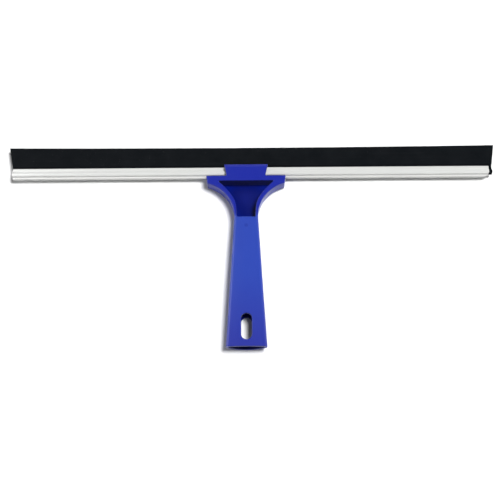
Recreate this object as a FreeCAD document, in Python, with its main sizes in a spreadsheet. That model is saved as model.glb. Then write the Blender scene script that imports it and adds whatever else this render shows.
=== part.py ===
import FreeCAD, Part
import os

import Sketcher

# Window cleaning squeegee, lying on its back: +X runs along the blade, +Y from the end of the grip
# to the wiping edge, +Z up out of the front of the handle. The origin is under the middle of the
# whole tool, on the surface that it rests on. All sizes are in millimetres.

DOC = FreeCAD.newDocument("squeegee")

SIZES = {
    # reach from the head line, which is the front top edge of the handle's crossbar
    "HandleLength": 161.8,
    "MouthReach": 11.1,
    "BladeReach": 33.2,
    "TabReach": 12.5,
    "RearJawReach": 10.2,
    "JawFloor": 2.0,
    # lengths along X, and how far each piece sits from the middle of the blade
    "ChannelLength": 443.0,
    "BladeLength": 454.4,
    "BeadLength": 446.0,
    "ChannelShift": -1.1,
    "HandleShift": -5.2,
    # rail section: depths are below its mouth, halves are half thicknesses
    "AxisHeight": 7.0,
    "ChannelHeight": 10.2,
    "LipHalf": 3.2,
    "BellyHalf": 4.2,
    "FlankHalf": 3.6,
    "GrooveHalf": 3.0,
    "LipChamfer": 0.9,
    "LipDepth": 3.2,
    "BellyTop": 3.9,
    "BellyMiddle": 6.0,
    "BellyEnd": 8.1,
    "FinTop": 8.5,
    "FinHalf": 1.6,
    "FinRound": 0.5,
    "GrooveSlope": 0.25,
    "MouthHalf": 1.75,
    "CavityRadius": 3.0,
    "CavityDepth": 5.2,
    "JawGap": 0.3,
    # how far each lower corner of the channel is rounded off
    "LeftCorner": 1.0,
    "RightCorner": 4.2,
    # rubber section
    "NeckHalf": 1.45,
    "ShoulderHalf": 2.2,
    "ShoulderLift": 1.8,
    "ShoulderTop": 3.8,
    "EdgeHalf": 0.9,
    "BeadRadius": 2.6,
    # spring clips on the ends of the bead
    "ClipWall": 0.35,
    "ClipLength": 8.0,
    "ClipInset": 1.0,
    "ClipMouthHalf": 1.8,
    # head of the handle: drops are below the head line
    "HeadDepth": 15.0,
    "HeadHalf": 37.0,
    "HeadEndHalf": 35.6,
    "HeadEndDrop": 6.9,
    "ArmHalf": 20.0,
    "ArmDrop": 16.4,
    "NeckHalfWidth": 11.0,
    "NeckDrop": 38.0,
    "GripStart": 39.0,
    "BevelFront": 0.4,
    "BevelDepth": 3.8,
    "TabRootHalf": 17.6,
    "TabTopHalf": 20.3,
    "TabBevel": 3.3,
    "TabBevelDepth": 1.5,
    "RecessFloor": 3.0,
    "RecessDrop": 4.5,
    "RecessHalf": 26.1,
    "RecessCurveDrop": 13.2,
    "RecessCurveHalf": 17.5,
    "RecessKneeDrop": 22.0,
    "RecessKneeHalf": 11.4,
    "RecessWaistDrop": 27.5,
    "RecessWaistHalf": 9.4,
    "RecessNeckDrop": 33.5,
    "RecessNeckHalf": 8.8,
    "RecessEndDrop": 40.4,
    "RecessEndHalf": 8.4,
    # grip: half width, crown height, crown arch and side height at three stations along it
    "GripMiddle": 97.0,
    "StartHalf": 11.0,
    "MiddleHalf": 14.3,
    "EndHalf": 18.3,
    "StartCrown": 15.6,
    "MiddleCrown": 18.0,
    "EndCrown": 16.0,
    "StartArch": 0.6,
    "MiddleArch": 1.3,
    "EndArch": 1.3,
    "StartSide": 2.0,
    "MiddleSide": 7.5,
    "EndSide": 8.5,
    "BackLift": 0.3,
    "Wall": 2.5,
    "HollowStart": 54.0,
    "SlotHalf": 4.75,
    "SlotTop": 132.3,
    "SlotEnd": 155.7,
    "FrontRound": 0.6,
    "BackRound": 3.5,
    "CrownRound": 3.0,
    "SideRound": 4.0,
}


# the places along the grip where its section is given, and how far below the head line they are
STATIONS = {"Start": "NeckDrop", "Middle": "GripMiddle", "End": "HandleLength"}


def make_sheet():
    sheet = DOC.addObject("Spreadsheet::Sheet", "Sizes")
    for row, (name, value) in enumerate(SIZES.items(), start=1):
        sheet.set(f"A{row}", name)
        sheet.set(f"B{row}", str(value))
        sheet.setAlias(f"B{row}", name)
    DOC.recompute()
    return sheet


SHEET = make_sheet()


class Size:
    """A length that carries its value and the spreadsheet expression that gives it."""

    def __init__(self, value, text):
        self.value = float(value)
        self.text = text

    def __add__(self, other):
        other = as_size(other)
        return Size(self.value + other.value, f"({self.text} + {other.text})")

    def __sub__(self, other):
        other = as_size(other)
        return Size(self.value - other.value, f"({self.text} - {other.text})")

    def __mul__(self, factor):
        return Size(self.value * factor, f"({self.text} * {factor})")

    def __neg__(self):
        return self * -1


def as_size(thing):
    return thing if isinstance(thing, Size) else Size(thing, repr(float(thing)))


def size(name):
    return Size(getattr(SHEET, name), f"<<Sizes>>.{name}")


# The head line sits so that the middle of the tool's length is at Y = 0.
HEAD_LINE = (size("HandleLength") - size("BladeReach")) * 0.5
MOUTH = HEAD_LINE + size("MouthReach")
AXIS = size("AxisHeight")
ZERO = as_size(0)

# how far a cut runs past the material that it removes, and how close counts as the same place
PAST = as_size(1)
CLOSE = 0.01

# how far the middle of a rounded corner lies inside the sharp one, per unit of its radius
CORNER_RISE = 1 - 0.5 ** 0.5


def below(name):
    return HEAD_LINE - size(name)


def above(name):
    return HEAD_LINE + size(name)


def bind(thing, prop, length):
    thing.setExpression(prop, length.text)


def new_body(label, shift=ZERO):
    body = DOC.addObject("PartDesign::Body", label)
    body.Label = label
    bind(body, "Placement.Base.x", shift)
    return body


def new_sketch(body, name, role, offset=ZERO):
    """A sketch on one of the body's own origin planes, moved along that plane's normal."""
    sketch = body.newObject("Sketcher::SketchObject", name)
    plane = [f for f in body.Origin.OriginFeatures if f.Role == role][0]
    sketch.AttachmentSupport = [(plane, "")]
    sketch.MapMode = "FlatFace"
    bind(sketch, "AttachmentOffset.Base.z", offset)
    return sketch


def pin(sketch, geo, end, point):
    """Holds one end of a sketch element at a pair of sizes."""
    for kind, length in zip(("DistanceX", "DistanceY"), point):
        index = sketch.addConstraint(Sketcher.Constraint(kind, -1, 1, geo, end, length.value))
        bind(sketch, f"Constraints[{index}]", length)


def vector(point):
    return FreeCAD.Vector(point[0].value, point[1].value, 0)


def outline(sketch, start, *steps):
    """A closed outline. Each step is (point,) for a straight edge or (via, point) for a left-hand arc."""
    here = start
    first = last = None
    for step in steps:
        there = step[-1]
        if len(step) == 1:
            geo = sketch.addGeometry(Part.LineSegment(vector(here), vector(there)), False)
        else:
            arc = Part.Arc(vector(here), vector(step[0]), vector(there))
            geo = sketch.addGeometry(arc, False)
            guide = sketch.addGeometry(Part.Point(vector(step[0])), True)
            pin(sketch, guide, 1, step[0])
            sketch.addConstraint(Sketcher.Constraint("PointOnObject", guide, 1, geo))
        pin(sketch, geo, 2, there)
        if first is None:
            first = (geo, 1)
        else:
            sketch.addConstraint(Sketcher.Constraint("Coincident", *last, geo, 1))
        last = (geo, 2)
        here = there
    sketch.addConstraint(Sketcher.Constraint("Coincident", *last, *first))


def polygon(sketch, *points):
    outline(sketch, points[0], *[(point,) for point in points[1:] + points[:1]])


def circle(sketch, centre, radius):
    ring = Part.Circle(vector(centre), FreeCAD.Vector(0, 0, 1), radius.value)
    geo = sketch.addGeometry(ring, False)
    pin(sketch, geo, 3, centre)
    index = sketch.addConstraint(Sketcher.Constraint("Radius", geo, radius.value))
    bind(sketch, f"Constraints[{index}]", radius)


def volume(body):
    DOC.recompute()
    return body.Shape.Volume if not body.Shape.isNull() else 0.0


def checked(body, made, before, grows):
    """A feature must change its body's volume in the expected direction."""
    change = volume(body) - before
    if (change > 1e-3) != grows or (change < -1e-3) == grows:
        raise ValueError(f"{made.Label} changed the volume by {change:.3f}")
    return made


def pad(body, name, sketch, length, midplane=False):
    before = volume(body) if body.Tip is not None and body.Tip != sketch else 0.0
    made = body.newObject("PartDesign::Pad", name)
    made.Profile = sketch
    made.Midplane = midplane
    bind(made, "Length", length)
    return checked(body, made, before, True)


def pocket(body, name, sketch, length=None, midplane=False):
    """A cut along the sketch's normal reversed; with no length it goes through both ways."""
    before = volume(body)
    made = body.newObject("PartDesign::Pocket", name)
    made.Profile = sketch
    made.Midplane = midplane or length is None
    if length is None:
        made.Type = "ThroughAll"
    else:
        bind(made, "Length", length)
    return checked(body, made, before, False)


def loft(body, kind, name, sketches):
    before = volume(body)
    made = body.newObject(f"PartDesign::{kind}", name)
    made.Profile = sketches[0]
    made.Sections = sketches[1:]
    made.Ruled = False
    return checked(body, made, before, kind == "AdditiveLoft")


# ---------------------------------------------------------------------------------------------
# Channel: an aluminium extrusion with a round cavity, a narrow mouth and a fin along its foot
# ---------------------------------------------------------------------------------------------


def rail_side(side, gap):
    """One long side of the rail's section, from its mouth to the fin at its foot, grown outward by a gap.

    Returns the straight points down to the belly, the belly's middle, the points from there to the
    fin, and the start, middle and end of the fin's rounded corner."""
    slope, corner = size("GrooveSlope"), size("FinRound")
    rise = corner * CORNER_RISE
    fin, end = size("FinHalf"), size("ChannelHeight") + gap

    def at(depth, half):
        return (MOUTH - depth, AXIS + (half + gap) * side)

    top = [
        at(ZERO, size("LipHalf") - size("LipChamfer")),
        at(size("LipChamfer"), size("LipHalf")),
        at(size("LipDepth"), size("LipHalf")),
        at(size("LipDepth") + slope, size("GrooveHalf")),
        at(size("BellyTop") - slope, size("GrooveHalf")),
        at(size("BellyTop"), size("FlankHalf")),
    ]
    belly = at(size("BellyMiddle"), size("BellyHalf"))
    foot = [at(size("BellyEnd") + gap, size("FlankHalf")), at(size("FinTop") + gap, fin)]
    tip = [at(end - corner, fin), at(end - rise, fin - rise), at(end, fin - corner)]
    return top, belly, foot, tip


def rail_outline(sketch, gap=ZERO, mouth=None):
    """The rail's whole outer section; a mouth line further out opens it towards +Y."""
    front_top, front_belly, front_foot, front_tip = rail_side(1, gap)
    back_top, back_belly, back_foot, back_tip = rail_side(-1, gap)
    if mouth is not None:
        front_top = [(mouth, front_top[1][1])] + front_top[2:]
        back_top = [(mouth, back_top[1][1])] + back_top[2:]
    steps = [(point,) for point in front_top[1:]]
    steps += [(front_belly, front_foot[0]), (front_foot[1],), (front_tip[0],), (front_tip[1], front_tip[2])]
    steps += [(back_tip[2],), (back_tip[1], back_tip[0]), (back_foot[1],), (back_foot[0],)]
    steps += [(back_belly, back_top[-1])]
    steps += [(point,) for point in reversed(back_top[:-1])]
    steps += [(front_top[0],)]
    outline(sketch, front_top[0], *steps)


def make_channel():
    body = new_body("channel", size("ChannelShift"))
    section = new_sketch(body, "rail_section", "YZ_Plane")
    rail_outline(section)
    pad(body, "rail", section, size("ChannelLength"), midplane=True)

    middle = MOUTH - size("CavityDepth")
    mouth = new_sketch(body, "mouth_section", "YZ_Plane")
    polygon(
        mouth,
        (middle, AXIS - size("MouthHalf")),
        (MOUTH + PAST, AXIS - size("MouthHalf")),
        (MOUTH + PAST, AXIS + size("MouthHalf")),
        (middle, AXIS + size("MouthHalf")),
    )
    pocket(body, "rail_mouth", mouth)

    cavity = new_sketch(body, "cavity_section", "YZ_Plane")
    circle(cavity, (middle, AXIS), size("CavityRadius"))
    pocket(body, "rail_cavity", cavity)

    for name, sign in (("LeftCorner", -1), ("RightCorner", 1)):
        round_corner(body, name, sign)
    return body


def round_corner(body, name, sign):
    """Cuts one lower corner of the channel to a quarter circle."""
    bottom = MOUTH - size("ChannelHeight")
    end = size("ChannelLength") * (0.5 * sign)
    radius = size(name)
    rise = radius * CORNER_RISE
    low, high = (end - radius * sign, bottom), (end, bottom + radius)
    via = (end - rise * sign, bottom + rise)
    beyond, under = end + PAST * sign, bottom - PAST
    outside = [(beyond, high[1]), (beyond, under), (low[0], under)]
    corner = new_sketch(body, f"{name}_outline", "XY_Plane")
    if sign > 0:
        outline(corner, low, (via, high), *[(point,) for point in outside], (low,))
    else:
        outline(corner, high, (via, low), *[(point,) for point in reversed(outside)], (high,))
    pocket(body, name, corner)


# ---------------------------------------------------------------------------------------------
# Rubber blade: a round bead, a neck through the mouth, a shoulder and a tapered wiping lip
# ---------------------------------------------------------------------------------------------


def make_rubber():
    body = new_body("rubber_blade")
    middle = MOUTH - size("CavityDepth")
    shoulder = MOUTH + size("ShoulderLift")
    tip = above("BladeReach")

    def side(sign):
        return [
            (middle, AXIS + size("NeckHalf") * sign),
            (shoulder, AXIS + size("NeckHalf") * sign),
            (shoulder, AXIS + size("ShoulderHalf") * sign),
            (MOUTH + size("ShoulderTop"), AXIS + size("ShoulderHalf") * sign),
            (tip, AXIS + size("EdgeHalf") * sign),
        ]

    section = new_sketch(body, "lip_section", "YZ_Plane")
    polygon(section, *side(1), *reversed(side(-1)))
    pad(body, "lip", section, size("BladeLength"), midplane=True)

    bead_end = size("BeadLength") * 0.5
    blade_end = size("BladeLength") * 0.5
    for name, sign in (("left_end", -1), ("right_end", 1)):
        trim = new_sketch(body, name, "XY_Plane")
        polygon(
            trim,
            (bead_end * sign, middle - PAST),
            (bead_end * sign, MOUTH),
            (blade_end * sign, tip),
            ((blade_end + PAST) * sign, tip),
            ((blade_end + PAST) * sign, middle - PAST),
        )
        pocket(body, f"{name}_cut", trim)

    ring = new_sketch(body, "bead_section", "YZ_Plane")
    circle(ring, (middle, AXIS), size("BeadRadius"))
    pad(body, "bead", ring, size("BeadLength"), midplane=True)
    return body


# ---------------------------------------------------------------------------------------------
# Retaining clips: split spring sleeves pressed on the bead just inside the channel's ends
# ---------------------------------------------------------------------------------------------


def make_clip(label, sign):
    body = new_body(label, size("ChannelShift"))
    middle = MOUTH - size("CavityDepth")
    centre = (size("ChannelLength") * 0.5 - size("ClipInset") - size("ClipLength") * 0.5) * sign

    ring = new_sketch(body, f"{label}_ring", "YZ_Plane", centre)
    circle(ring, (middle, AXIS), size("BeadRadius") + size("ClipWall"))
    pad(body, f"{label}_sleeve", ring, size("ClipLength"), midplane=True)

    bore = new_sketch(body, f"{label}_bore", "YZ_Plane", centre)
    circle(bore, (middle, AXIS), size("BeadRadius"))
    pocket(body, f"{label}_hole", bore)

    split = new_sketch(body, f"{label}_split", "YZ_Plane", centre)
    polygon(
        split,
        (middle, AXIS - size("ClipMouthHalf")),
        (MOUTH, AXIS - size("ClipMouthHalf")),
        (MOUTH, AXIS + size("ClipMouthHalf")),
        (middle, AXIS + size("ClipMouthHalf")),
    )
    pocket(body, f"{label}_mouth", split)
    return body


# ---------------------------------------------------------------------------------------------
# Handle: one moulding with a T-shaped head, a snap jaw for the channel and a hollow grip
# ---------------------------------------------------------------------------------------------


def add_head(body):
    neck = (size("NeckHalfWidth"), below("NeckDrop"))
    arm = (size("ArmHalf"), below("ArmDrop"))
    end = (size("HeadEndHalf"), below("HeadEndDrop"))
    corner = (size("HeadHalf"), above("JawFloor"))
    root = (size("NeckHalfWidth"), below("GripStart"))

    def left(point):
        return (-point[0], point[1])

    plate = new_sketch(body, "head_outline", "XY_Plane")
    outline(
        plate,
        corner,
        (end,),
        (arm, neck),
        (root,),
        (left(root),),
        (left(neck),),
        (left(arm), left(end)),
        (left(corner),),
        (corner,),
    )
    pad(body, "head", plate, size("HeadDepth"))

    bevel = new_sketch(body, "crossbar_bevel", "YZ_Plane")
    polygon(
        bevel,
        (above("BevelFront"), size("HeadDepth")),
        (above("JawFloor"), size("HeadDepth") - size("BevelDepth")),
        (above("JawFloor") + PAST, size("HeadDepth") - size("BevelDepth")),
        (above("JawFloor") + PAST, size("HeadDepth") + PAST),
        (above("BevelFront"), size("HeadDepth") + PAST),
    )
    pocket(body, "crossbar_top", bevel)


def add_jaw(body):
    """The rear wall and the front tab that hold the rail between them."""
    lip = size("LipHalf") + size("JawGap")
    inside = HEAD_LINE - PAST

    floor = above("JawFloor")
    rear = new_sketch(body, "rear_jaw_outline", "XY_Plane")
    polygon(
        rear,
        (-size("HeadHalf"), floor),
        (size("HeadHalf"), floor),
        (size("HeadHalf"), above("RearJawReach")),
        (-size("HeadHalf"), above("RearJawReach")),
    )
    pad(body, "rear_jaw", rear, AXIS - lip)

    tab = new_sketch(body, "tab_outline", "XY_Plane", AXIS + lip)
    polygon(
        tab,
        (-size("TabRootHalf"), inside),
        (size("TabRootHalf"), inside),
        (size("TabTopHalf"), above("TabReach")),
        (-size("TabTopHalf"), above("TabReach")),
    )
    pad(body, "tab", tab, size("HeadDepth") - AXIS - lip)

    bevel = new_sketch(body, "tab_bevel", "YZ_Plane")
    tip = above("TabReach")
    front = size("HeadDepth")
    polygon(
        bevel,
        (tip - size("TabBevel"), front),
        (tip, front - size("TabBevelDepth")),
        (tip + PAST, front - size("TabBevelDepth")),
        (tip + PAST, front + PAST),
        (tip - size("TabBevel"), front + PAST),
    )
    pocket(body, "tab_tip", bevel)

    seat = new_sketch(body, "jaw_section", "YZ_Plane")
    rail_outline(seat, size("JawGap"), mouth=above("TabReach") + PAST)
    pocket(body, "jaw", seat)


def add_recess(body):
    """The open pocket between the two curved rims of the head."""
    top, curve, knee, waist, neck, end = [
        (size(f"Recess{name}Half"), below(f"Recess{name}Drop"))
        for name in ("", "Curve", "Knee", "Waist", "Neck", "End")
    ]

    def left(point):
        return (-point[0], point[1])

    above_front = size("HeadDepth") + PAST
    sketch = new_sketch(body, "recess_outline", "XY_Plane", above_front)
    outline(
        sketch,
        top,
        (curve, knee),
        (waist, neck),
        (end,),
        (left(end),),
        (left(neck),),
        (left(waist), left(knee)),
        (left(curve), left(top)),
        (top,),
    )
    pocket(body, "recess", sketch, above_front - size("RecessFloor"))


def section_sizes(station):
    return [size(f"{station}{name}") for name in ("Half", "Crown", "Arch", "Side")]


def grip_section(body, name, drop, sizes, wall=ZERO):
    """A D-shaped section: round back, upright sides and a gently crowned front."""
    half, crown, arch, side = sizes
    half = half - wall
    crown = crown - wall
    sketch = new_sketch(body, name, "XZ_Plane", drop - HEAD_LINE)
    outline(
        sketch,
        (-half, side),
        ((ZERO, size("BackLift") + wall), (half, side)),
        ((half, crown - arch),),
        ((ZERO, crown), (-half, crown - arch)),
        ((-half, side),),
    )
    return sketch


def long_edges(body, low, high):
    """The names of the edges that run the length of the grip, with their middles in a height range."""
    names = []
    most_of_grip = 0.9 * (size("HandleLength") - size("NeckDrop")).value
    for number, edge in enumerate(body.Shape.Edges, start=1):
        box = edge.BoundBox
        if box.YLength > most_of_grip:
            if low < (box.ZMin + box.ZMax) / 2 < high:
                names.append(f"Edge{number}")
    return names


def fillet(body, name, edges, radius):
    before = volume(body)
    base = body.Tip
    made = body.newObject("PartDesign::Fillet", name)
    made.Base = (base, edges)
    bind(made, "Radius", radius)
    return checked(body, made, before, False)


def add_grip(body):
    outer = [
        grip_section(body, f"grip_{station.lower()}", size(drop), section_sizes(station))
        for station, drop in STATIONS.items()
    ]
    loft(body, "AdditiveLoft", "grip", outer)
    shoulder, crown = size("EndSide").value, size("MiddleCrown").value
    fillet(body, "crown_round", long_edges(body, shoulder, crown), size("CrownRound"))
    fillet(body, "side_round", long_edges(body, 0, shoulder), size("SideRound"))


def rim_edges(body, height):
    """The names of the outer edges of the arms, curves and ends, that lie flat at one height."""
    names = []
    inside, shortest = size("ArmHalf").value, 3
    for number, edge in enumerate(body.Shape.Edges, start=1):
        box = edge.BoundBox
        flat = abs(box.ZMin - height.value) < CLOSE and abs(box.ZMax - height.value) < CLOSE
        middle = (box.XMin + box.XMax) / 2 - size("HandleShift").value
        outer = abs(middle) > inside and box.YLength > shortest
        if flat and outer and box.YMax < above("JawFloor").value:
            names.append(f"Edge{number}")
    return names


def round_head(body):
    fillet(body, "front_round", rim_edges(body, size("HeadDepth")), size("FrontRound"))
    fillet(body, "back_round", rim_edges(body, ZERO), size("BackRound"))


def add_hollow(body):
    """The grip is open at its end and its inside follows the outside."""
    start = size("HollowStart").value
    first, second = size("NeckDrop").value, size("GripMiddle").value
    share = (start - first) / (second - first)
    near = [a * (1 - share) + b * share for a, b in zip(section_sizes("Start"), section_sizes("Middle"))]
    inner = [
        grip_section(body, "hollow_start", size("HollowStart"), near, size("Wall")),
        grip_section(body, "hollow_middle", size("GripMiddle"), section_sizes("Middle"), size("Wall")),
        grip_section(body, "hollow_end", size("HandleLength") + CLOSE, section_sizes("End"), size("Wall")),
    ]
    loft(body, "SubtractiveLoft", "hollow", inner)


def add_slot(body):
    half = size("SlotHalf")
    top = below("SlotTop")
    end = below("SlotEnd")
    sketch = new_sketch(body, "slot_outline", "XY_Plane")
    outline(
        sketch,
        (half, end + half),
        ((half, top - half),),
        ((ZERO, top), (-half, top - half)),
        ((-half, end + half),),
        ((ZERO, end), (half, end + half)),
    )
    pocket(body, "hang_slot", sketch)


def make_handle():
    body = new_body("handle", size("HandleShift"))
    add_grip(body)
    add_head(body)
    add_jaw(body)
    add_recess(body)
    round_head(body)
    add_hollow(body)
    add_slot(body)
    return body


def main():
    bodies = [
        make_handle(),
        make_channel(),
        make_rubber(),
        make_clip("rubber_clip_left", -1),
        make_clip("rubber_clip_right", 1),
    ]
    DOC.recompute()
    for thing in DOC.Objects:
        if "Invalid" in thing.State or "Error" in thing.State:
            raise ValueError(f"{thing.Label}: {thing.State}")
    os.makedirs("parts", exist_ok=True)
    for body in bodies:
        if body.Shape.isNull() or not body.Shape.isValid():
            raise ValueError(f"{body.Label} has no valid shape")
        box = body.Shape.BoundBox
        print(body.Label, f"{body.Shape.Volume:.0f} mm3", len(body.Shape.Solids), "solid", box)
        body.Shape.exportStep(f"parts/{body.Label}.step")


main()
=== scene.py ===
"""Looks of the window cleaning squeegee: blue T-shaped handle, aluminium channel and rubber blade."""

import math

import bmesh
import bpy
from mathutils import Matrix, Vector


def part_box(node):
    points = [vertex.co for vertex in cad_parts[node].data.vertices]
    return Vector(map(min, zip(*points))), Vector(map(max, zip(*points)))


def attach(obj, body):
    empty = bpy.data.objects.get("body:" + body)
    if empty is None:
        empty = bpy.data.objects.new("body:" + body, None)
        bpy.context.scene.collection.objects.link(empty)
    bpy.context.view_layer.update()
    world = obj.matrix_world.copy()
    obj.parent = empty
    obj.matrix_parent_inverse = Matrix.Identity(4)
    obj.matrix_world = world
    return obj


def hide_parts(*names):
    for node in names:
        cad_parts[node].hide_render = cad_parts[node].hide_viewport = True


MM = 0.001
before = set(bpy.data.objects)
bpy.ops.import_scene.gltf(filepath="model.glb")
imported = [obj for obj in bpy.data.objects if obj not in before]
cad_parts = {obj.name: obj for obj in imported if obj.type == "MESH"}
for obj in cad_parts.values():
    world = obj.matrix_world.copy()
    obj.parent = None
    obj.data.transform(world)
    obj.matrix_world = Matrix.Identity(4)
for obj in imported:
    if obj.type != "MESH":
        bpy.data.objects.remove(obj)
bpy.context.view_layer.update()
SCENE = bpy.context.scene

CHANNEL_LOW, CHANNEL_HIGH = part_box("channel")
HANDLE_LOW, HANDLE_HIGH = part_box("handle")
RUBBER_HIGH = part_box("rubber_blade")[1]

# ---------------------------------------------------------------------------------------------
# Sizes in millimetres. A section point is (distance from the channel's mouth, half thickness).
# A ripple of the rubber's lip is (height, length over 2 pi, shift in radians); the powers say how
# the bow fades towards the ends and how sag and ripple grow from the lip's root to its tip.
# ---------------------------------------------------------------------------------------------

MOUTH = CHANNEL_HIGH.y / MM
AXIS = (CHANNEL_LOW.z + CHANNEL_HIGH.z) / 2 / MM
CHANNEL_DEPTH = (CHANNEL_HIGH.y - CHANNEL_LOW.y) / MM
CAVITY_DEPTH = 5.2
CAVITY_RADIUS = 3.0
MOUTH_HALF = 1.75
MOUTH_EASE = 0.25
LIP_NOSE = [(0, 2.0), (0.35, 2.85), (1.4, 3.22)]
LIP_AND_GROOVE = [(3.2, 3.25), (3.42, 3.0), (3.68, 3.0), (3.9, 3.6)]
BELLY = [(3.9, 3.6), (6.0, 4.2), (8.1, 3.6)]
FIN_TOP = 8.5
FIN_HALF = 1.6
FIN_ROUND = 0.5
RAIL_ROUND = 0.16
CUT_EASE = 0.22
LEFT_CORNER = 1.0
RIGHT_CORNER = 4.2

BEAD_RADIUS = 2.6
NECK_HALF = 1.45
SHOULDER = [(1.8, 2.2), (3.8, 2.2)]
TIP = RUBBER_HIGH.y / MM - MOUTH
TIP_HALF = 0.9
RUBBER_ROUND = 0.3
RUBBER_END = RUBBER_HIGH.x / MM
LEFT_ROOT = 222.5
RIGHT_ROOT = 223.4
ROOT_SWELL = 0.5
SWELL_REACH = 2.0
LIP_BOW = 1.15
BOW_POWER = 0.9
SAG_POWER = 1.4
RIPPLES = [(0.05, 17.0, 0.0), (0.04, 7.3, 1.0)]
RIPPLE_SAG = 0.6
RIPPLE_POWER = 1.5
RUBBER_EASE = 0.25
RUBBER_STATIONS = 161
RUBBER_STEP = 2.2

MOULDING_VOXEL = 0.4
MOULDING_PASSES = 7
GRIP_MIDDLE = (HANDLE_LOW.x + HANDLE_HIGH.x) / 2 / MM
GATE_HEIGHT = 15.0

# ---------------------------------------------------------------------------------------------
# Angles in radians, and the studio in metres
# ---------------------------------------------------------------------------------------------

RAIL_CREASE = math.radians(32)
RUBBER_CREASE = math.radians(40)
FLOOR_RADIUS = 1.9
FLOOR_GAP = 0.0002
ROOM_LIGHT = 0.15
BACKDROP_LIGHT = 1.1
CAMERA_TURN = 0.0122
CAMERA_HEIGHT = math.radians(70.0)
CAMERA_ROLL = -0.0182
CAMERA_DISTANCE = 0.950
CAMERA_TARGET = Vector((-1.854, MOUTH - 78.476, 0)) * MM
SENSOR_MM = 36.0
FOCAL_PIXELS = 1038.82
PHOTO_PIXELS = 500


def arc_points(start, middle, end, count):
    """Points on the circle through three points, from start to end, both included."""
    (ax, ay), (bx, by), (cx, cy) = start, middle, end
    aa, bb, cc = ax**2 + ay**2, bx**2 + by**2, cx**2 + cy**2
    d = 2 * (ax * (by - cy) + bx * (cy - ay) + cx * (ay - by))
    ux = (aa * (by - cy) + bb * (cy - ay) + cc * (ay - by)) / d
    uy = (aa * (cx - bx) + bb * (ax - cx) + cc * (bx - ax)) / d
    radius = math.hypot(ax - ux, ay - uy)
    first, mid, last = (math.atan2(y - uy, x - ux) for x, y in (start, middle, end))
    turn = (last - first) % math.tau
    if (mid - first) % math.tau > turn:
        turn -= math.tau
    angles = [first + turn * i / (count - 1) for i in range(count)]
    return [(ux + radius * math.cos(a), uy + radius * math.sin(a)) for a in angles]


def soften(points, radius, steps=4):
    """The same open line with each inner corner rounded."""
    out = [points[0]]
    for before, corner, after in zip(points, points[1:], points[2:]):
        p, c, n = Vector(before), Vector(corner), Vector(after)
        incoming, outgoing = p - c, n - c
        if incoming.angle(outgoing, math.pi) > math.radians(165):
            out.append(corner)
            continue
        reach = min(radius, incoming.length * 0.45, outgoing.length * 0.45)
        a = c + incoming.normalized() * reach
        b = c + outgoing.normalized() * reach
        for i in range(steps + 1):
            t = i / steps
            q = a * (1 - t) ** 2 + c * 2 * t * (1 - t) + b * t * t
            out.append((q.x, q.y))
    out.append(points[-1])
    return out


def rail_profile():
    """One half of the channel's section, from the mouth to the fin: outer points and inner points."""
    end, low_half = CHANNEL_DEPTH, FIN_HALF - FIN_ROUND
    rise = FIN_ROUND * (1 - math.sqrt(0.5))
    outer = arc_points(*LIP_NOSE, 8) + LIP_AND_GROOVE + arc_points(*BELLY, 14)[1:]
    outer = soften(outer + [(FIN_TOP, FIN_HALF), (end - FIN_ROUND, FIN_HALF)], RAIL_ROUND)
    outer += arc_points(outer[-1], (end - rise, FIN_HALF - rise), (end, low_half), 7)[1:]
    outer += [(end, low_half * (1 - k / 3)) for k in range(1, 4)]
    run = [0.0]
    for a, b in zip(outer, outer[1:]):
        run.append(run[-1] + math.dist(a, b))
    junction = CAVITY_DEPTH - math.sqrt(CAVITY_RADIUS**2 - MOUTH_HALF**2)
    start = math.acos((CAVITY_DEPTH - junction) / CAVITY_RADIUS)
    first = next(i for i, p in enumerate(outer) if p[0] >= junction)
    inner = []
    for i in range(len(outer)):
        if i < first:
            inner.append((MOUTH_EASE + (junction - MOUTH_EASE) * i / first, MOUTH_HALF))
        else:
            share = (run[i] - run[first]) / (run[-1] - run[first])
            angle = start + (math.pi - start) * share
            inner.append((CAVITY_DEPTH - CAVITY_RADIUS * math.cos(angle), CAVITY_RADIUS * math.sin(angle)))
    return outer, inner


def new_object(name, bm, crease=RAIL_CREASE):
    bmesh.ops.recalc_face_normals(bm, faces=bm.faces)
    mesh = bpy.data.meshes.new(name)
    bm.to_mesh(mesh)
    bm.free()
    mesh.shade_smooth()
    mesh.set_sharp_from_angle(angle=crease)
    piece = bpy.data.objects.new(name, mesh)
    SCENE.collection.objects.link(piece)
    return piece


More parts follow.
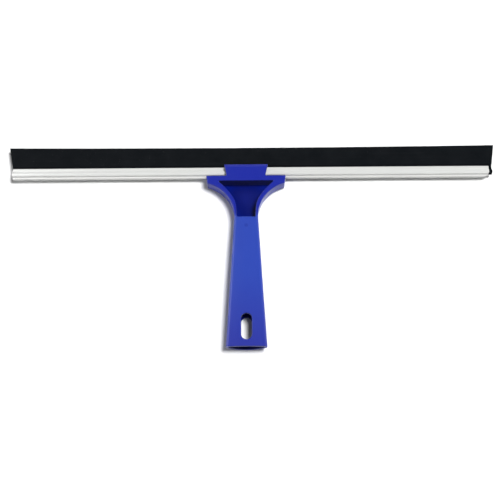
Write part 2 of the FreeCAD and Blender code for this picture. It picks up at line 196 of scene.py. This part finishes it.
def channel_mesh(left, right, corner_left, corner_right):
    """The rail, with each lower corner rounded and its cut ends eased."""
    outer, inner = rail_profile()
    size = len(outer)
    up, down = range(size), range(size - 2, -1, -1)
    loop = [("out", i, 1) for i in up] + [("out", i, -1) for i in down]
    loop += [("in", i, -1) for i in up] + [("in", i, 1) for i in down]
    points = {"out": outer, "in": inner}
    section = [(points[kind][i][0], points[kind][i][1] * side) for kind, i, side in loop]
    count = len(section)

    def end_x(depth, sign):
        end, radius = (left, corner_left) if sign < 0 else (right, corner_right)
        below = max(0.0, depth - (CHANNEL_DEPTH - radius))
        return end - sign * (radius - math.sqrt(max(0.0, radius**2 - below**2)))

    flat = [Vector(p) for p in section]
    tangents = [flat[(i + 1) % count] - flat[i - 1] for i in range(count)]
    normals = [Vector((t.y, -t.x)).normalized() for t in tangents]
    area = sum(flat[i].cross(flat[(i + 1) % count]) for i in range(count))
    turn = 1 if area > 0 else -1
    bm = bmesh.new()
    rings = []
    for sign, steps in ((-1, (0.0, 0.5, 1.0)), (1, (1.0, 0.5, 0.0))):
        for step in steps:
            angle = step * math.pi / 2
            inset, back = CUT_EASE * (1 - math.sin(angle)), CUT_EASE * (1 - math.cos(angle))
            ring = []
            for p, n in zip(flat, normals):
                q = p - n * turn * inset
                x = end_x(p.x, sign) - sign * back
                ring.append(bm.verts.new(Vector((x, MOUTH - q.x, AXIS + q.y)) * MM))
            rings.append(ring)
    for a, b in zip(rings, rings[1:]):
        for i in range(count):
            j = (i + 1) % count
            bm.faces.new((a[i], a[j], b[j], b[i]))

    def at(kind, i, side):
        return loop.index((kind, i, side)) if (kind, i, side) in loop else loop.index((kind, i, -side))

    for ring in (rings[0], rings[-1]):
        for side in (1, -1):
            for i in range(size - 1):
                corners = [ring[at("out", i, side)], ring[at("out", i + 1, side)]]
                corners += [ring[at("in", i + 1, side)], ring[at("in", i, side)]]
                if len(set(corners)) == 4:
                    bm.faces.new(corners)
    return new_object("channel_extrusion", bm)


def rubber_profile():
    """One half of the rubber's section, from the bottom of the bead to the tip."""
    bead_middle = -CAVITY_DEPTH
    join = bead_middle + math.sqrt(BEAD_RADIUS**2 - NECK_HALF**2)
    low = bead_middle - BEAD_RADIUS
    bead = arc_points((low, 0.0), (bead_middle, BEAD_RADIUS), (join, NECK_HALF), 17)
    neck = [(join, NECK_HALF), (SHOULDER[0][0], NECK_HALF)]
    return bead[:-1] + soften(neck + SHOULDER + [(TIP, TIP_HALF), (TIP, 0.0)], RUBBER_ROUND)


def rubber_mesh(left_root, right_root):
    """The blade, with slanted ends and a lip that gives a little in the middle."""
    half_line = rubber_profile()
    fine = []
    for (height, half), (to_height, to_half) in zip(half_line, half_line[1:]):
        rise, spread = to_height - height, to_half - half
        pieces = max(1, int(math.hypot(rise, spread) / RUBBER_STEP))
        fine += [(height + rise * k / pieces, half + spread * k / pieces) for k in range(pieces)]
    fine.append(half_line[-1])
    end, ease = RUBBER_END, RUBBER_EASE
    shares = [2 * k / (RUBBER_STATIONS - 1) - 1 for k in range(RUBBER_STATIONS)]
    shares = [-1.0, -1.0 + ease / end] + shares[1:-1] + [1.0 - ease / end, 1.0]
    bm = bmesh.new()
    rows = []
    for k, share in enumerate(shares):
        last = k in (0, len(shares) - 1)
        root = left_root if share < 0 else right_root
        ring = []
        for side in (1, -1):
            for height, half in fine:
                lean = max(0.0, height) / TIP
                swell = ROOT_SWELL * math.exp(-((height + CAVITY_DEPTH) / SWELL_REACH) ** 2)
                x = share * (root + (end - root) * lean + swell)
                bow = LIP_BOW * max(0.0, 1 - (x / end) ** 2) ** BOW_POWER
                ripple = sum(tall * math.sin(x / long + shift) for tall, long, shift in RIPPLES)
                y = MOUTH + height - lean**SAG_POWER * (bow + abs(ripple) * RIPPLE_SAG)
                thick = half - (ease if last and half > ease else 0)
                z = AXIS + side * thick + lean**RIPPLE_POWER * ripple
                ring.append(bm.verts.new(Vector((x, y, z)) * MM))
        rows.append(ring)
    n = len(fine)

    def around(ring):
        return ring[:n] + ring[n:][::-1]

    for a, b in zip(rows, rows[1:]):
        ra, rb = around(a), around(b)
        for i in range(len(ra)):
            j = (i + 1) % len(ra)
            bm.faces.new((ra[i], ra[j], rb[j], rb[i]))
    for ring in (rows[0], rows[-1]):
        front, back = ring[:n], ring[n:]
        for i in range(n - 1):
            bm.faces.new((front[i], front[i + 1], back[i + 1], back[i]))
    bmesh.ops.remove_doubles(bm, verts=bm.verts, dist=1e-6)
    return new_object("rubber_strip", bm, RUBBER_CREASE)


def moulded_copy(node, name):
    """A copy of a CAD solid with its edges rounded as a moulding's are."""
    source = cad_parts[node].data
    bm = bmesh.new()
    bm.from_mesh(source)
    bmesh.ops.remove_doubles(bm, verts=bm.verts, dist=1e-6)
    raw = bpy.data.meshes.new(name + "_raw")
    bm.to_mesh(raw)
    bm.free()
    piece = bpy.data.objects.new(name, raw)
    SCENE.collection.objects.link(piece)
    skin = piece.modifiers.new("skin", "REMESH")
    skin.mode = "VOXEL"
    skin.voxel_size = MOULDING_VOXEL * MM
    skin.use_smooth_shade = True
    relax = piece.modifiers.new("soft_edges", "SMOOTH")
    relax.factor = 0.5
    relax.iterations = MOULDING_PASSES
    bpy.context.view_layer.update()
    graph = bpy.context.evaluated_depsgraph_get()
    mesh = bpy.data.meshes.new_from_object(piece.evaluated_get(graph))
    mesh.materials.clear()
    mesh.name = name
    piece.modifiers.clear()
    piece.data = mesh
    bpy.data.meshes.remove(raw)
    mesh.shade_smooth()
    return piece


# ---------------------------------------------------------------------------------------------
# Materials
# ---------------------------------------------------------------------------------------------

class Tree:
    """A material's node tree, built by short calls."""

    def __init__(self, name):
        self.material = bpy.data.materials.new(name)
        self.material.use_nodes = True
        self.nodes = self.material.node_tree.nodes
        self.links = self.material.node_tree.links
        self.nodes.clear()
        self.out = self.nodes.new("ShaderNodeOutputMaterial")
        self.shader = self.nodes.new("ShaderNodeBsdfPrincipled")
        self.links.new(self.shader.outputs[0], self.out.inputs["Surface"])
        self.place = self.nodes.new("ShaderNodeTexCoord").outputs["Object"]

    def join(self, value, socket):
        if isinstance(value, bpy.types.NodeSocket):
            self.links.new(value, socket)
        else:
            socket.default_value = value

    def stretched(self, x, y, z):
        node = self.nodes.new("ShaderNodeMapping")
        self.links.new(self.place, node.inputs["Vector"])
        node.inputs["Scale"].default_value = (x, y, z)
        return node.outputs[0]

    def noise(self, scale, detail=3.0, rough=0.5, place=None):
        node = self.nodes.new("ShaderNodeTexNoise")
        self.links.new(place or self.place, node.inputs["Vector"])
        node.inputs["Scale"].default_value = scale
        node.inputs["Detail"].default_value = detail
        node.inputs["Roughness"].default_value = rough
        return node.outputs["Fac"]

    def spread(self, value, low, high, to_low=0.0, to_high=1.0):
        node = self.nodes.new("ShaderNodeMapRange")
        self.join(value, node.inputs["Value"])
        names = ("From Min", "From Max", "To Min", "To Max")
        for name, number in zip(names, (low, high, to_low, to_high)):
            node.inputs[name].default_value = number
        return node.outputs["Result"]

    def sums(self, operation, a, b):
        node = self.nodes.new("ShaderNodeMath")
        node.operation = operation
        self.join(a, node.inputs[0])
        self.join(b, node.inputs[1])
        return node.outputs[0]

    def mix(self, share, a, b):
        node = self.nodes.new("ShaderNodeMix")
        node.data_type = "RGBA"
        self.join(share, node.inputs["Factor"])
        self.join((*a, 1.0) if isinstance(a, tuple) else a, node.inputs["A"])
        self.join((*b, 1.0) if isinstance(b, tuple) else b, node.inputs["B"])
        return node.outputs["Result"]

    def bump(self, height, strength, distance, below=None):
        node = self.nodes.new("ShaderNodeBump")
        self.join(height, node.inputs["Height"])
        node.inputs["Strength"].default_value = strength
        node.inputs["Distance"].default_value = distance
        if below is not None:
            self.links.new(below, node.inputs["Normal"])
        return node.outputs[0]

    def finish(self, colour, roughness, normal=None, **numbers):
        """Link the looks to the shader, set its plain numbers and give the material."""
        for name, value in (("Base Color", colour), ("Roughness", roughness), ("Normal", normal)):
            if value is not None:
                self.join(value, self.shader.inputs[name])
        for name, number in numbers.items():
            self.shader.inputs[name.replace("_", " ")].default_value = number
        return self.material


def plastic():
    """Satin blue moulding: a paler grip and darker head and heel as painted light and shade, painted shade
    in the hollows with a less dark painted bounce blue in their deepest corners, fine grain, scuffs and a
    gate mark.
    """
    # Painted light and shade: head, grip and heel are one blue, with the grip painted paler and the head
    # and heel painted darker for how light falls on them.
    head, grip, heel = (0.0095, 0.0180, 0.262), (0.0225, 0.052, 0.342), (0.021, 0.030, 0.272)
    cloud, speck = (0.02, 0.03, 0.25), (0.09, 0.13, 0.5)
    rubbed, gate_blue = (0.10, 0.14, 0.50), (0.010, 0.020, 0.20)
    # Painted shade for the hollows, and a less dark blue for their deepest corners as painted bounce light.
    hollow_painted_shade, corner_painted_bounce = (0.0008, 0.0036, 0.086), (0.0004, 0.0075, 0.18)
    tree = Tree("blue_moulded_plastic")
    axes = tree.nodes.new("ShaderNodeSeparateXYZ")
    tree.links.new(tree.place, axes.inputs[0])
    # Painted light and shade along the handle's length: darker heel, paler grip, darker head.
    base = tree.mix(tree.spread(axes.outputs["Y"], -0.095, -0.03), heel, grip)
    base = tree.mix(tree.spread(axes.outputs["Y"], 0.024, 0.028), base, head)
    clouds = tree.noise(scale=42.0, detail=4.0, rough=0.6)
    base = tree.mix(tree.spread(clouds, 0.3, 0.7, 0.0, 0.10), base, cloud)
    specks = tree.noise(scale=1900.0, detail=2.0, rough=0.6)
    base = tree.mix(tree.spread(specks, 0.62, 0.75, 0.0, 0.10), base, speck)

    # Painted shade: where the AO node finds the surface enclosed the blue turns dark, and in the most
    # enclosed corners it turns less dark again as painted bounce light.
    shade = tree.nodes.new("ShaderNodeAmbientOcclusion")
    shade.samples = 12
    shade.only_local = True
    shade.inputs["Distance"].default_value = 0.035
    hollow = tree.spread(shade.outputs["AO"], 0.60, 0.90)
    corner = tree.spread(shade.outputs["AO"], 0.30, 0.52)
    base = tree.mix(hollow, tree.mix(corner, corner_painted_bounce, hollow_painted_shade), base)

    gate = tree.nodes.new("ShaderNodeVectorMath")
    gate.operation = "DISTANCE"
    tree.links.new(tree.stretched(1.0, 1.0, 0.0), gate.inputs[0])
    gate.inputs[1].default_value = (GRIP_MIDDLE * MM, GATE_HEIGHT * MM, 0.0)
    spot = tree.spread(gate.outputs["Value"], 0.0022, 0.0012)
    spot = tree.sums("MULTIPLY", spot, tree.spread(axes.outputs["Z"], 0.010, 0.011))
    base = tree.mix(tree.sums("MULTIPLY", spot, 0.35), base, gate_blue)

    edges = tree.spread(tree.nodes.new("ShaderNodeNewGeometry").outputs["Pointiness"], 0.53, 0.62)
    wear = tree.spread(tree.noise(scale=260.0, detail=4.0, rough=0.7), 0.35, 0.7)
    worn = tree.sums("MULTIPLY", edges, wear)
    base = tree.mix(tree.sums("MULTIPLY", worn, 0.35), base, rubbed)

    scratch = tree.noise(scale=1.0, detail=2.0, rough=0.4, place=tree.stretched(900.0, 55.0, 200.0))
    marks = tree.spread(scratch, 0.66, 0.72)
    rough = tree.spread(tree.noise(scale=120.0, detail=4.0, rough=0.6), 0.3, 0.7, 0.36, 0.44)
    rough = tree.sums("ADD", rough, tree.sums("MULTIPLY", marks, 0.08))
    grain = tree.bump(tree.noise(scale=2600.0, detail=3.0, rough=0.65), strength=0.25, distance=0.00004)
    uneven = tree.noise(scale=70.0, detail=1.0, rough=0.5)
    sink = tree.bump(uneven, strength=0.18, distance=0.0006, below=grain)
    dent = tree.bump(tree.sums("SUBTRACT", 1.0, spot), strength=0.5, distance=0.0003, below=sink)
    return tree.finish(
        base, rough, dent, IOR=1.46, Specular_IOR_Level=0.35,
        Sheen_Weight=0.5, Sheen_Roughness=0.25, Sheen_Tint=(0.8, 0.85, 1.0, 1.0))


def aluminium():
    """Mill-finished extrusion with die lines along its length."""
    dull, bright, stained = (0.53, 0.535, 0.525), (0.63, 0.635, 0.62), (0.50, 0.505, 0.50)
    tree = Tree("drawn_aluminium")
    die = tree.noise(scale=1.0, detail=3.0, rough=0.6, place=tree.stretched(4.0, 2600.0, 2600.0))
    broad = tree.noise(scale=1.0, detail=2.0, rough=0.5, place=tree.stretched(9.0, 420.0, 420.0))
    blotch = tree.noise(scale=60.0, detail=4.0, rough=0.6)
    base = tree.mix(tree.spread(die, 0.3, 0.7), dull, bright)
    base = tree.mix(tree.spread(blotch, 0.45, 0.75, 0.0, 0.18), base, stained)
    rough = tree.spread(broad, 0.3, 0.7, 0.44, 0.52)
    rough = tree.sums("ADD", rough, tree.spread(blotch, 0.4, 0.7, 0.0, 0.05))
    lines = tree.bump(die, strength=0.35, distance=0.00003)
    waves = tree.bump(broad, strength=0.22, distance=0.00008, below=lines)
    return tree.finish(base, rough, waves, Metallic=0.12)


def rubber():
    """Matt black strip with a haze, wiping strokes and a little dust."""
    dark, hazy = (0.0030, 0.0040, 0.0052), (0.0055, 0.0066, 0.0080)
    streak, grit = (0.012, 0.013, 0.015), (0.10, 0.10, 0.10)
    tree = Tree("black_rubber")
    strokes = tree.noise(scale=1.0, detail=3.0, rough=0.6, place=tree.stretched(14.0, 1500.0, 1500.0))
    fog = tree.noise(scale=75.0, detail=4.0, rough=0.6)
    base = tree.mix(tree.spread(fog, 0.3, 0.7), dark, hazy)
    base = tree.mix(tree.spread(strokes, 0.58, 0.75, 0.0, 0.5), base, streak)
    dust = tree.noise(scale=1400.0, detail=1.0, rough=0.5)
    base = tree.mix(tree.spread(dust, 0.74, 0.80, 0.0, 0.5), base, grit)
    fine = tree.bump(tree.noise(scale=3200.0, detail=2.0, rough=0.6), strength=0.3, distance=0.00003)
    drag = tree.bump(strokes, strength=0.3, distance=0.00004, below=fine)
    return tree.finish(base, tree.spread(fog, 0.3, 0.7, 0.70, 0.80), drag, IOR=1.5, Specular_IOR_Level=0.06)


def steel():
    """Rolled spring strip with faint stains."""
    dull, bright, tarnish = (0.46, 0.46, 0.47), (0.62, 0.62, 0.63), (0.30, 0.27, 0.24)
    tree = Tree("spring_steel")
    rolled = tree.noise(scale=1.0, detail=3.0, rough=0.6, place=tree.stretched(2200.0, 60.0, 60.0))
    stain = tree.noise(scale=400.0, detail=3.0, rough=0.6)
    base = tree.mix(tree.spread(rolled, 0.3, 0.7), dull, bright)
    base = tree.mix(tree.spread(stain, 0.5, 0.8, 0.0, 0.3), base, tarnish)
    rough = tree.spread(rolled, 0.3, 0.7, 0.26, 0.40)
    return tree.finish(base, rough, tree.bump(rolled, strength=0.3, distance=0.00003), Metallic=1.0)


def paper():
    """Plain white table top."""
    tree = Tree("white_table")
    grain = tree.noise(scale=900.0, detail=3.0, rough=0.6)
    base = tree.mix(tree.spread(grain, 0.3, 0.7), (0.86, 0.86, 0.86), (0.88, 0.88, 0.88))
    return tree.finish(base, 0.9, Specular_IOR_Level=0.2)


def cover(piece, material):
    piece.data.materials.clear()
    piece.data.materials.append(material)


# ---------------------------------------------------------------------------------------------
# Pieces
# ---------------------------------------------------------------------------------------------

handle = moulded_copy("handle", "handle_moulding")
cover(handle, plastic())
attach(handle, "handle")
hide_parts("handle")

channel = channel_mesh(CHANNEL_LOW.x / MM, CHANNEL_HIGH.x / MM, LEFT_CORNER, RIGHT_CORNER)
cover(channel, aluminium())
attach(channel, "channel")
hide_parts("channel")

strip = rubber_mesh(LEFT_ROOT, RIGHT_ROOT)
cover(strip, rubber())
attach(strip, "blade")
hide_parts("rubber_blade")

clip_steel = steel()
for name in ("rubber_clip_left", "rubber_clip_right"):
    cover(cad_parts[name], clip_steel)

# ---------------------------------------------------------------------------------------------
# Floor, light and camera
# ---------------------------------------------------------------------------------------------


def add_floor():
    bm = bmesh.new()
    bmesh.ops.create_circle(bm, cap_ends=True, segments=96, radius=FLOOR_RADIUS)
    floor = new_object("table_top", bm)
    cover(floor, paper())
    floor.location.z = -FLOOR_GAP


def add_softbox(name, place, aim, size, watts, diffuse=True, gloss=True):
    """A round softbox. Without diffuse it only shows in reflections; without gloss it never does."""
    lamp = bpy.data.lights.new(name, "AREA")
    lamp.shape = "DISK"
    lamp.size = size
    lamp.energy = watts
    box = bpy.data.objects.new(name, lamp)
    box.location = place
    box.rotation_euler = (Vector(place) - Vector(aim)).to_track_quat("Z", "Y").to_euler()
    box.visible_diffuse = diffuse
    box.visible_glossy = gloss
    SCENE.collection.objects.link(box)


def add_room():
    """Dim walls for soft light, bright low down in reflections, and a white backdrop for the camera."""
    world = bpy.data.worlds.new("studio")
    world.use_nodes = True
    nodes, links = world.node_tree.nodes, world.node_tree.links
    nodes.clear()

    def wall(strength):
        light = nodes.new("ShaderNodeBackground")
        light.inputs["Color"].default_value = (1, 1, 1, 1)
        light.inputs["Strength"].default_value = strength
        return light

    height = nodes.new("ShaderNodeSeparateXYZ")
    links.new(nodes.new("ShaderNodeTexCoord").outputs["Generated"], height.inputs[0])
    low_bright = nodes.new("ShaderNodeMapRange")
    links.new(height.outputs["Z"], low_bright.inputs["Value"])
    for name, number in (("From Min", 0.20), ("From Max", 0.60), ("To Min", 1.0), ("To Max", 0.10)):
        low_bright.inputs[name].default_value = number
    mirrored = wall(1.0)
    links.new(low_bright.outputs["Result"], mirrored.inputs["Strength"])
    path = nodes.new("ShaderNodeLightPath")
    room = wall(ROOM_LIGHT).outputs[0]
    for seen, ray in ((mirrored, "Is Glossy Ray"), (wall(BACKDROP_LIGHT), "Is Camera Ray")):
        both = nodes.new("ShaderNodeMixShader")
        links.new(path.outputs[ray], both.inputs[0])
        links.new(room, both.inputs[1])
        links.new(seen.outputs[0], both.inputs[2])
        room = both.outputs[0]
    links.new(room, nodes.new("ShaderNodeOutputWorld").inputs["Surface"])
    SCENE.world = world


def add_lights():
    middle = (0, 0, 0)
    add_softbox("key_softbox", (0.97, 0.22, 2.93), middle, size=1.10, watts=127.0, gloss=False)
    add_softbox("low_fill", (-1.50, -0.25, 0.40), middle, size=0.80, watts=6.0)
    add_softbox("left_card", (-1.05, 0.25, 0.80), (-0.10, 0.07, 0), size=0.90, watts=12.5, diffuse=False)
    add_softbox("right_card", (0.95, -0.15, 0.28), (0, -0.05, 0), size=0.45, watts=4.5, diffuse=False)


def add_camera():
    """The photo's view: from the grip's side, 20 degrees off straight down, turned a degree."""
    back = Vector((
        math.sin(CAMERA_TURN) * math.cos(CAMERA_HEIGHT),
        -math.cos(CAMERA_TURN) * math.cos(CAMERA_HEIGHT),
        math.sin(CAMERA_HEIGHT)))
    level = (-back).cross(Vector((0, 0, 1))).normalized()
    upright = level.cross(-back)
    right = level * math.cos(CAMERA_ROLL) + upright * math.sin(CAMERA_ROLL)
    up = upright * math.cos(CAMERA_ROLL) - level * math.sin(CAMERA_ROLL)
    data = bpy.data.cameras.new("camera")
    data.sensor_width = SENSOR_MM
    data.lens = SENSOR_MM * FOCAL_PIXELS / PHOTO_PIXELS
    data.clip_start = 0.01
    data.clip_end = 50
    camera = bpy.data.objects.new("camera", data)
    turn = Matrix((right, up, back)).transposed().to_4x4()
    camera.matrix_world = Matrix.Translation(CAMERA_TARGET + back * CAMERA_DISTANCE) @ turn
    SCENE.collection.objects.link(camera)
    SCENE.camera = camera


add_floor()
add_room()
add_lights()
add_camera()
SCENE.view_settings.view_transform = "Standard"
SCENE.view_settings.look = "None"
